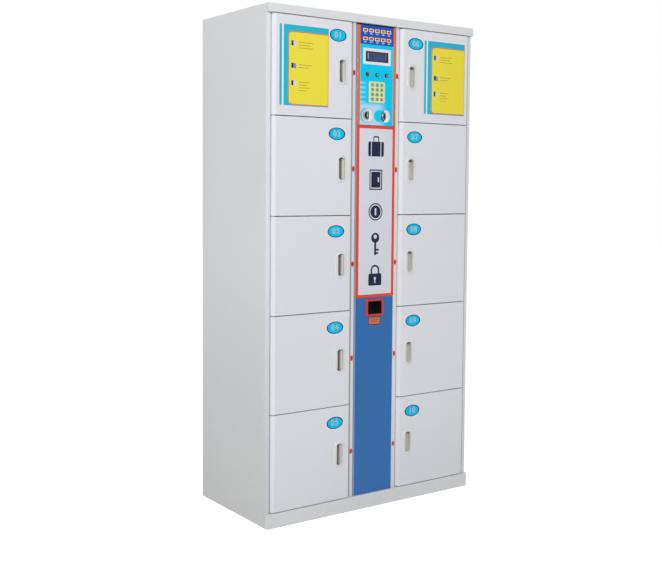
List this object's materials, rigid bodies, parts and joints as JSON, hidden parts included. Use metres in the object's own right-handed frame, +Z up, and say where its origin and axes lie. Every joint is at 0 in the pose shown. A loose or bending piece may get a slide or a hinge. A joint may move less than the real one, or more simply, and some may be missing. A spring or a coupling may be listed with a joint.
{
  "type": "coin locker",
  "caption": "Electronic coin locker: hinged compartment doors with pull cups and solenoid bolts, beside a middle column with a coin console and return cup.",
  "frame": {"origin": "on the floor, under the middle of the bounding box", "axes": "+Z up, -Y the way the doors face, +X to the right as seen from the front"},
  "size_m": [0.93, 0.4736, 1.8],
  "materials": {
    "white_coat": "satin powder coat",
    "blue_coat": "satin powder coat",
    "red_coat": "satin powder coat",
    "console_print": "printed film, satin",
    "notice_print": "printed film, satin",
    "satin_silver": "satin",
    "dark_window": "clear window over a dark display",
    "red_lens": "moulded translucent lens",
    "keypad_moulding": "matte moulding",
    "chrome_plate": "bright plating",
    "zinc_steel": "zinc plated",
    "white_moulding": "moulded, semi-gloss",
    "black_plastic": "moulded",
    "green_board": "solder mask"
  },
  "bodies": {
    "cabinet": {"back_panel": "white_coat", "left_side_panel": "white_coat", "right_side_panel": "white_coat", "top_cover": "white_coat", "plinth_base": "white_coat", "left_column_wall": "white_coat", "right_column_wall": "white_coat", "shelves": "white_coat", "hinge_lugs": "zinc_steel", "hinge_pins": "zinc_steel", "lock_cases": "zinc_steel", "coin_chute": "zinc_steel", "coin_box": "black_plastic", "power_supply": "satin_silver", "service_panel": "blue_coat", "console_panel": "console_print", "notice_panel": "notice_print", "display_bezel": "satin_silver", "display_module": "dark_window", "console_lamps": "red_lens", "status_lamps": "red_lens", "door_lamps": "red_lens", "keypad": "keypad_moulding", "coin_slot_plate": "chrome_plate", "return_button_ring": "chrome_plate", "coin_return_cup": "red_coat", "coin_validator": "black_plastic", "controller_board": "green_board", "cable_grommet": "black_plastic"},
    "door_01": {"door_01": "white_coat", "pull_01": "white_moulding"},
    "latch_01": {"latch_01": "zinc_steel"},
    "door_02": {"door_02": "white_coat", "pull_02": "white_moulding"},
    "latch_02": {"latch_02": "zinc_steel"},
    "door_03": {"door_03": "white_coat", "pull_03": "white_moulding"},
    "latch_03": {"latch_03": "zinc_steel"},
    "door_04": {"door_04": "white_coat", "pull_04": "white_moulding"},
    "latch_04": {"latch_04": "zinc_steel"},
    "door_05": {"door_05": "white_coat", "pull_05": "white_moulding"},
    "latch_05": {"latch_05": "zinc_steel"},
    "door_06": {"door_06": "white_coat", "pull_06": "white_moulding"},
    "latch_06": {"latch_06": "zinc_steel"},
    "door_07": {"door_07": "white_coat", "pull_07": "white_moulding"},
    "latch_07": {"latch_07": "zinc_steel"},
    "door_08": {"door_08": "white_coat", "pull_08": "white_moulding"},
    "latch_08": {"latch_08": "zinc_steel"},
    "door_09": {"door_09": "white_coat", "pull_09": "white_moulding"},
    "latch_09": {"latch_09": "zinc_steel"},
    "door_10": {"door_10": "white_coat", "pull_10": "white_moulding"},
    "latch_10": {"latch_10": "zinc_steel"},
    "coin_return_button": {"coin_return_button": "chrome_plate"}
  },
  "joints": [
    {"name": "door_01_hinge", "type": "hinge", "parent": "cabinet", "child": "door_01", "pos_m": [-0.438, -0.22525, 1.59695], "axis": [0, 0, -1], "range_deg": [0, 110]},
    {"name": "latch_01_slide", "type": "slide", "parent": "cabinet", "child": "latch_01", "axis": [-1, 0, 0], "range_m": [0, 0.008]},
    {"name": "door_02_hinge", "type": "hinge", "parent": "cabinet", "child": "door_02", "pos_m": [-0.438, -0.22525, 1.25385], "axis": [0, 0, -1], "range_deg": [0, 110]},
    {"name": "latch_02_slide", "type": "slide", "parent": "cabinet", "child": "latch_02", "axis": [-1, 0, 0], "range_m": [0, 0.008]},
    {"name": "door_03_hinge", "type": "hinge", "parent": "cabinet", "child": "door_03", "pos_m": [-0.438, -0.22525, 0.91075], "axis": [0, 0, -1], "range_deg": [0, 110]},
    {"name": "latch_03_slide", "type": "slide", "parent": "cabinet", "child": "latch_03", "axis": [-1, 0, 0], "range_m": [0, 0.008]},
    {"name": "door_04_hinge", "type": "hinge", "parent": "cabinet", "child": "door_04", "pos_m": [-0.438, -0.22525, 0.56765], "axis": [0, 0, -1], "range_deg": [0, 110]},
    {"name": "latch_04_slide", "type": "slide", "parent": "cabinet", "child": "latch_04", "axis": [-1, 0, 0], "range_m": [0, 0.008]},
    {"name": "door_05_hinge", "type": "hinge", "parent": "cabinet", "child": "door_05", "pos_m": [-0.438, -0.22525, 0.22455], "axis": [0, 0, -1], "range_deg": [0, 110]},
    {"name": "latch_05_slide", "type": "slide", "parent": "cabinet", "child": "latch_05", "axis": [-1, 0, 0], "range_m": [0, 0.008]},
    {"name": "door_06_hinge", "type": "hinge", "parent": "cabinet", "child": "door_06", "pos_m": [0.438, -0.22525, 1.59695], "axis": [0, 0, 1], "range_deg": [0, 110]},
    {"name": "latch_06_slide", "type": "slide", "parent": "cabinet", "child": "latch_06", "axis": [1, 0, 0], "range_m": [0, 0.008]},
    {"name": "door_07_hinge", "type": "hinge", "parent": "cabinet", "child": "door_07", "pos_m": [0.438, -0.22525, 1.25385], "axis": [0, 0, 1], "range_deg": [0, 110]},
    {"name": "latch_07_slide", "type": "slide", "parent": "cabinet", "child": "latch_07", "axis": [1, 0, 0], "range_m": [0, 0.008]},
    {"name": "door_08_hinge", "type": "hinge", "parent": "cabinet", "child": "door_08", "pos_m": [0.438, -0.22525, 0.91075], "axis": [0, 0, 1], "range_deg": [0, 110]},
    {"name": "latch_08_slide", "type": "slide", "parent": "cabinet", "child": "latch_08", "axis": [1, 0, 0], "range_m": [0, 0.008]},
    {"name": "door_09_hinge", "type": "hinge", "parent": "cabinet", "child": "door_09", "pos_m": [0.438, -0.22525, 0.56765], "axis": [0, 0, 1], "range_deg": [0, 110]},
    {"name": "latch_09_slide", "type": "slide", "parent": "cabinet", "child": "latch_09", "axis": [1, 0, 0], "range_m": [0, 0.008]},
    {"name": "door_10_hinge", "type": "hinge", "parent": "cabinet", "child": "door_10", "pos_m": [0.438, -0.22525, 0.22455], "axis": [0, 0, 1], "range_deg": [0, 110]},
    {"name": "latch_10_slide", "type": "slide", "parent": "cabinet", "child": "latch_10", "axis": [1, 0, 0], "range_m": [0, 0.008]},
    {"name": "coin_return_button_slide", "type": "slide", "parent": "cabinet", "child": "coin_return_button", "axis": [0, 1, 0], "range_m": [0, 0.004], "stiffness_N_per_m": 300, "springref_m": -0.003}
  ]
}
